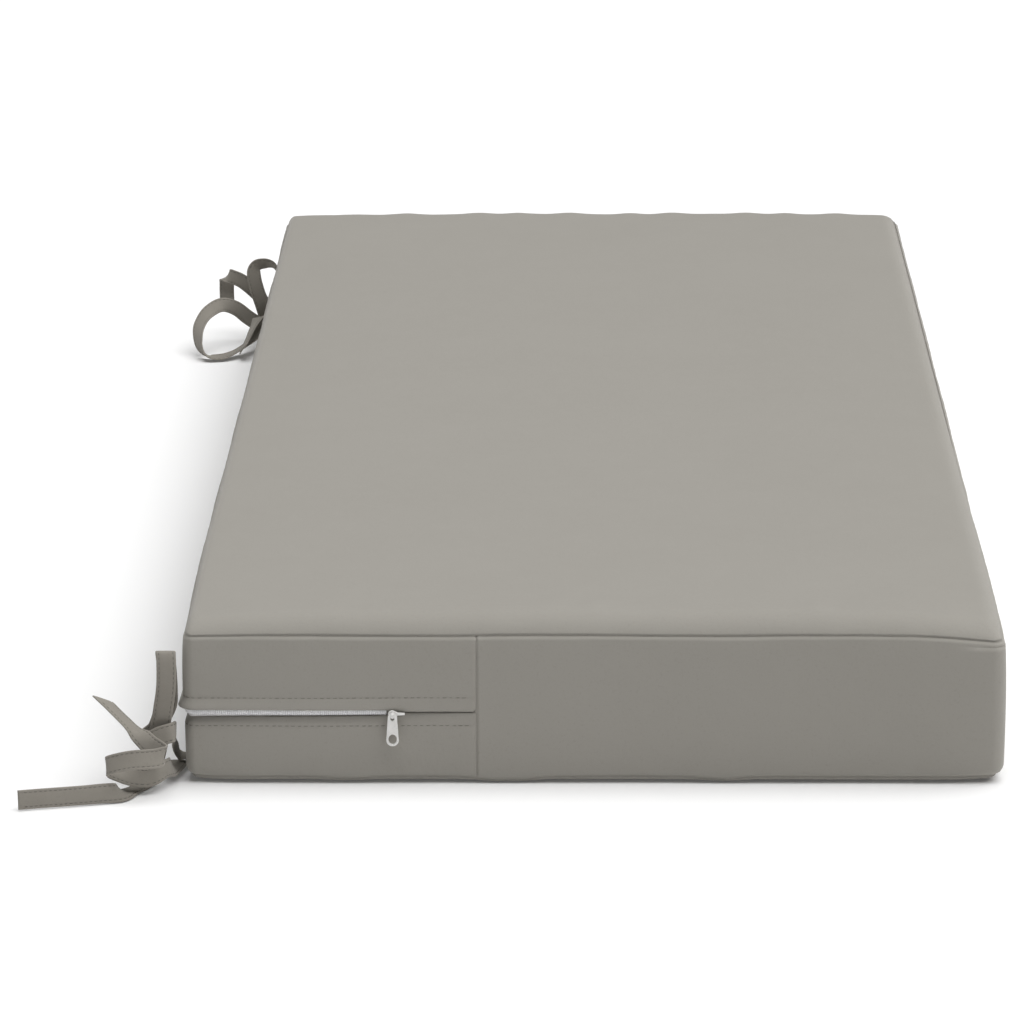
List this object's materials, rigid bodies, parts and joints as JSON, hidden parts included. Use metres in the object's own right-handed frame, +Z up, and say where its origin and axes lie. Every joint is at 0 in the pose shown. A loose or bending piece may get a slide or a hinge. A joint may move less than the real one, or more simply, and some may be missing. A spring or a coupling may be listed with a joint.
{
  "type": "bench cushion",
  "caption": "Long box-edged bench cushion with a softly crowned top, a zip that wraps round one end onto a long side, and fabric ties on that side.",
  "frame": {"origin": "centre of the underside, on the surface that the cushion lies on", "axes": "+Z up, +Y along the cushion away from the zipped end, +X across it away from the ties"},
  "size_m": [0.5955, 1.2614, 0.1056],
  "materials": {
    "cover": "plain woven, matt",
    "tie": "plain woven strap, matt",
    "zip_coil": "white nylon coil and tape",
    "zip_metal": "white, satin"
  },
  "bodies": {
    "root": {"cushion": "cover", "zip_coil": "zip_coil", "zip_slider": "zip_metal", "zip_puller": "zip_metal", "tie_near_loop": "tie", "tie_near_tail": "tie", "tie_far_bow": "tie", "tie_far_loops": "tie"}
  },
  "joints": []
}
